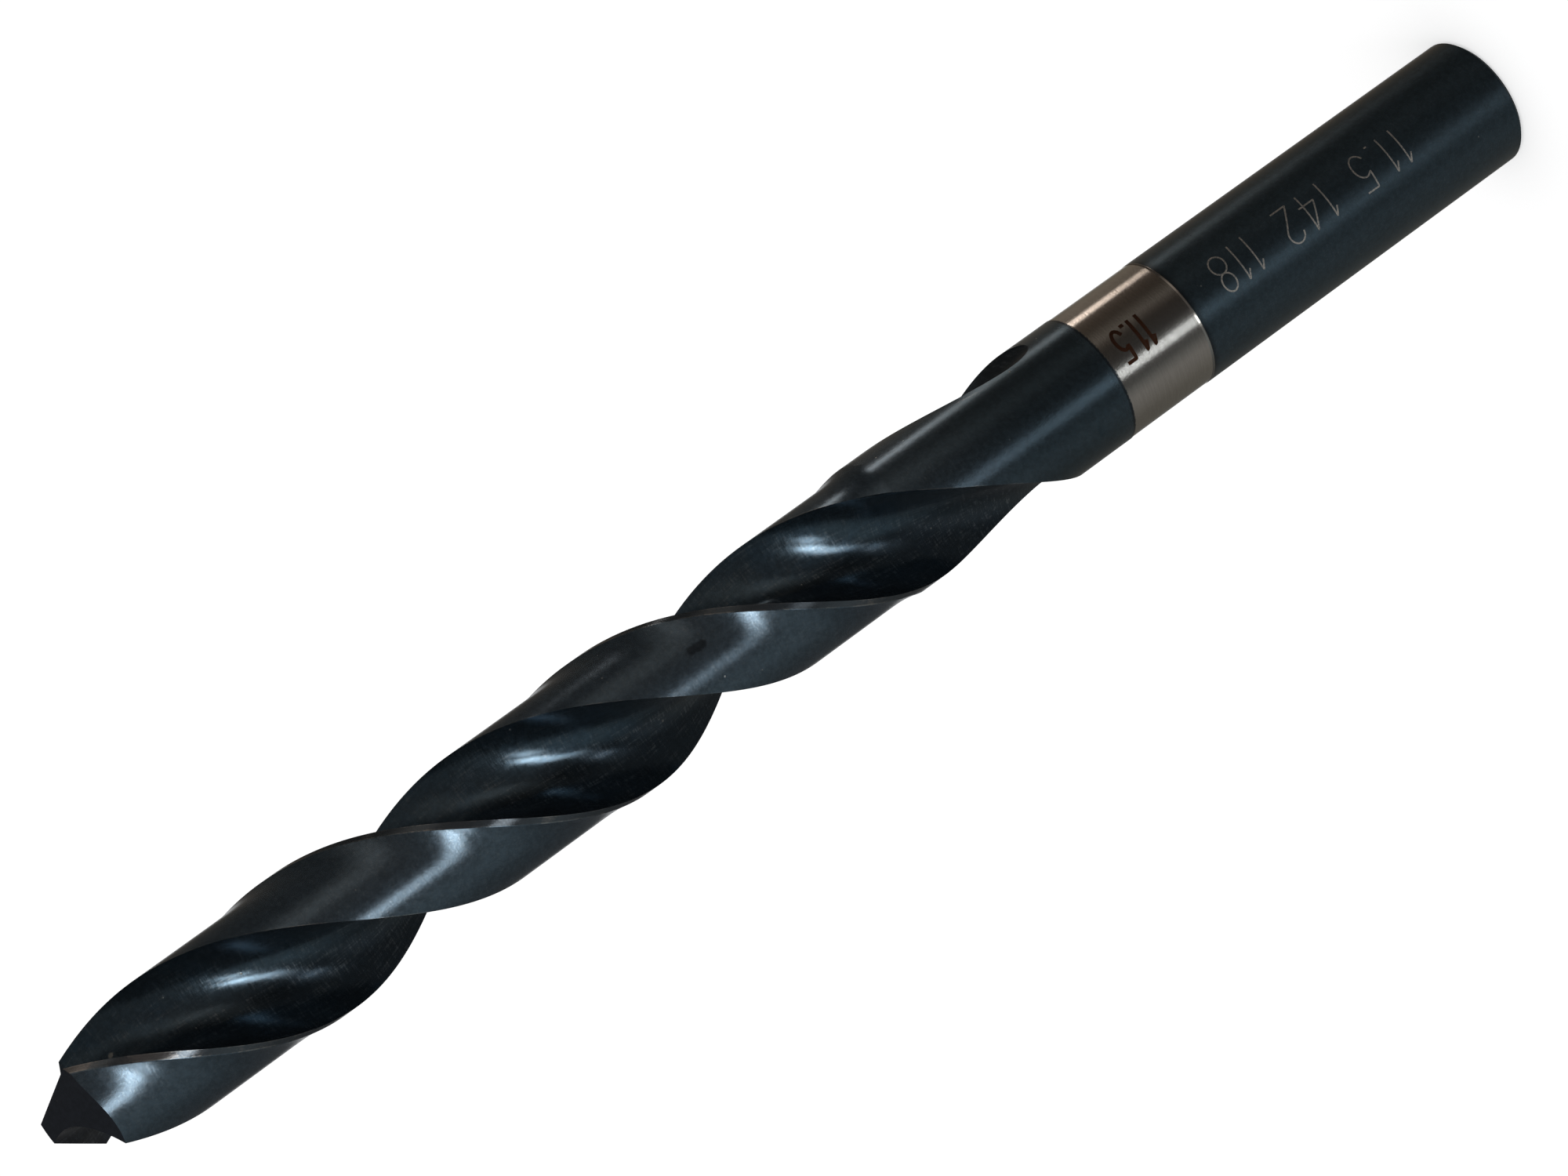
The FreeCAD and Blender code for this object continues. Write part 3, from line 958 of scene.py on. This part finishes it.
STUDIO_BELOW = (
    (-180, BEHIND), (-172, BEHIND), (-158, (0.17, 0.15, 0.12)), (-135, (0.25, 0.215, 0.18)),
    (-118, (0.27, 0.235, 0.20)), (-98, (0.17, 0.14, 0.115)), (-86, (0.125, 0.10, 0.08)),
    (-74, (0.095, 0.075, 0.058)), (-64, (0.070, 0.057, 0.045)), (-52, (0.125, 0.112, 0.095)),
    (-43, (0.19, 0.175, 0.155)), (-33, (0.075, 0.063, 0.053)), (-24, (0.030, 0.026, 0.022)),
    (5, (0.022, 0.022, 0.022)), (35, (0.05, 0.05, 0.05)), (45, (0.068, 0.072, 0.074)),
    (57, (0.205, 0.21, 0.21)), (70, (0.29, 0.285, 0.28)), (90, (0.24, 0.235, 0.225)),
    (112, (0.165, 0.16, 0.145)), (150, (0.135, 0.13, 0.115)), (165, (0.16, 0.16, 0.15)),
    (172, BEHIND), (180, BEHIND),
)
STUDIO_LOWEST = (
    (-180, BEHIND), (-172, BEHIND), (-158, (0.15, 0.12, 0.085)), (-140, (0.16, 0.125, 0.09)),
    (-118, (0.070, 0.055, 0.040)), (-98, (0.030, 0.024, 0.018)), (-80, (0.015, 0.012, 0.010)),
    (-60, (0.03, 0.025, 0.020)), (-43, (0.08, 0.07, 0.065)), (-24, (0.03, 0.027, 0.024)),
    (2, (0.06, 0.06, 0.06)), (13, (0.36, 0.37, 0.38)), (27, (0.36, 0.37, 0.38)),
    (40, (0.14, 0.145, 0.145)), (55, (0.20, 0.205, 0.205)), (70, (0.30, 0.30, 0.30)),
    (100, (0.24, 0.235, 0.22)), (150, (0.15, 0.145, 0.13)), (165, (0.16, 0.16, 0.15)),
    (172, BEHIND), (180, BEHIND),
)
# The studio's colour straight up and straight down, the soft light on plain surfaces, and the white
# that the camera sees
STUDIO_ENDS = (0.10, 0.098, 0.095)
SOFT_LIGHT = (0.70, 0.70, 0.70)
PLAIN_WHITE = (1.0, 1.0, 1.0)
# How far up a line of sight points, as a sine, where one part of the studio gives way to the next:
# lowest to below, below to above, and the ends below and above all three
LOWEST_TO_BELOW = (-0.435, -0.418)
BELOW_TO_ABOVE = (-0.38, -0.31)
LOWER_END = (-0.75, -0.50)
UPPER_END = (0.80, 0.35)


def studio_world():
    """White behind everything, plain soft light from all round, and a darker studio seen in gloss."""
    world = bpy.data.worlds.new("studio")
    bpy.context.scene.world = world
    shader = Shader(world)
    path = shader.node("ShaderNodeLightPath")
    seen = Value(shader, path.outputs["Is Camera Ray"])
    gloss = Value(shader, path.outputs["Is Glossy Ray"])
    way = shader.node("ShaderNodeTexCoord").outputs["Generated"]
    parts = shader.node("ShaderNodeSeparateXYZ", {}, {0: way})
    east, north, up = (Value(shader, parts.outputs[name]) for name in "XYZ")
    side = CAMERA_SIDE / 360 + 0.5 - north.maths("ARCTAN2", north, east) * (0.5 / math.pi)
    side = side.maths("WRAP", side, 0.0, 1.0)
    above, below, lowest = (
        shader.node("ShaderNodeValToRGB", {
            "stops": [((degrees + 180) / 360, colour) for degrees, colour in table],
        }, {0: side}).outputs[0]
        for table in (STUDIO_ABOVE, STUDIO_BELOW, STUDIO_LOWEST))
    round_it = shader.mix(shader.rise(up, *BELOW_TO_ABOVE), below, above)
    round_it = shader.mix(shader.rise(up, *LOWEST_TO_BELOW), lowest, round_it)
    level = shader.rise(up, *LOWER_END) * shader.rise(up, *UPPER_END)
    studio = shader.mix(level, STUDIO_ENDS, round_it)
    plain = shader.mix(gloss, SOFT_LIGHT, studio)
    shown = shader.mix(seen, plain, PLAIN_WHITE)
    background = shader.node("ShaderNodeBackground", {}, {"Color": shown, "Strength": 1.0})
    shader.node("ShaderNodeOutputWorld", {}, {"Surface": background.outputs[0]})


# Metres from the drill's axis to a lamp, and the height on the drill that it faces
LAMP_DISTANCE = 0.8
LAMP_AIM = 0.09


def soft_lamp(name, side, tilt, width, height, lean, radiance, colour):
    """A soft lamp that faces the drill, placed and sized in degrees as seen from it.

    It stands at an angle from the camera's side and a tilt above the height that it faces, and leans
    in its own plane. Its power is its radiance times pi times its area.
    """
    light = bpy.data.lights.new(name, "AREA")
    light.shape = "RECTANGLE"
    light.size = 2 * LAMP_DISTANCE * math.tan(math.radians(width / 2))
    light.size_y = 2 * LAMP_DISTANCE * math.tan(math.radians(height / 2))
    light.energy = radiance * math.pi * light.size * light.size_y
    light.color = colour
    lamp = bpy.data.objects.new(name, light)
    lamp.matrix_world = (
        Matrix.Translation((0, 0, LAMP_AIM))
        @ Matrix.Rotation(math.radians(CAMERA_SIDE - side) + math.pi / 2, 4, "Z")
        @ Matrix.Rotation(math.pi / 2 - math.radians(tilt), 4, "X")
        @ Matrix.Translation((0, 0, LAMP_DISTANCE))
        @ Matrix.Rotation(math.radians(lean), 4, "Z"))
    lamp.visible_camera = False
    bpy.context.collection.objects.link(lamp)


WHITE, DAYLIGHT, WARM = (0.98, 1.0, 1.02), (0.92, 1.0, 1.07), (1.0, 0.88, 0.80)
# Each lamp's side, tilt, width, height and lean in degrees, its radiance and its colour. The first
# seven are one tall strip of light that grows dimmer downwards, and the eighth is the bright patch at
# its foot. The others are seen at the far side.
LAMPS = (
    (37.0, 16.5, 11.0, 7.0, 42, 5.5, WHITE),
    (24.5, 10.2, 11.0, 8.0, 30, 12.0, WHITE),
    (21.5, 0.2, 12.5, 9.4, 0, 5.6, WHITE),
    (22.2, -7.7, 14.0, 6.0, 0, 2.6, WHITE),
    (23.0, -12.8, 14.0, 4.2, 0, 1.15, WHITE),
    (23.0, -16.4, 14.0, 3.0, 0, 0.40, WHITE),
    (21.0, -21.9, 18.0, 8.0, 0, 0.23, DAYLIGHT),
    (22.3, -27.2, 13.0, 2.8, 0, 3.3, DAYLIGHT),
    (-101.0, -26.3, 11.0, 2.6, 0, 3.3, WARM),
    (-98.5, -21.2, 9.0, 7.6, 0, 2.8, WARM),
    (-42.0, 0.0, 20.0, 18.0, 0, 0.14, WARM),
)


def camera():
    """The photograph's camera, above the point's height, with its right, up and backward axes."""
    lens = bpy.data.cameras.new("camera")
    lens.lens, lens.sensor_width, lens.sensor_fit = LENS, SENSOR, "HORIZONTAL"
    lens.clip_start = NEAREST
    seen_from = bpy.data.objects.new("camera", lens)
    columns = zip(CAMERA_RIGHT, CAMERA_UP, CAMERA_BACK, CAMERA_PLACE)
    seen_from.matrix_world = Matrix([list(row) for row in columns] + [[0, 0, 0, 1]])
    bpy.context.collection.objects.link(seen_from)
    bpy.context.scene.camera = seen_from


drill = drill_piece()
drill.data.materials.append(oxide_steel())
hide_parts("drill_bit")
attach(drill, "root")

size_mark = numerals("size_mark", "11.5", start=38.44, angle=-5.0, height=2.80, narrow=0.74,
                     gap=0.15, width=0.31, low=5.690, high=5.714)
size_mark.data.materials.append(mark_finish(
    "burnt_mark", tone=(0.060, 0.022, 0.010), strength=0.15, roughness=0.6))
shank_mark = numerals("shank_mark", "11.5 142 118", start=10.7, angle=-3.2, height=3.25, narrow=1.0,
                      gap=0.24, width=0.14, low=5.735, high=5.7535)
shank_mark.data.materials.append(mark_finish(
    "etched_mark", tone=(0.500, 0.460, 0.410), strength=0.8, roughness=0.5))

paper_floor()
studio_world()
for number, lamp in enumerate(LAMPS, 1):
    soft_lamp("lamp_%d" % number, *lamp)
camera()
bpy.context.scene.view_settings.view_transform = "Standard"
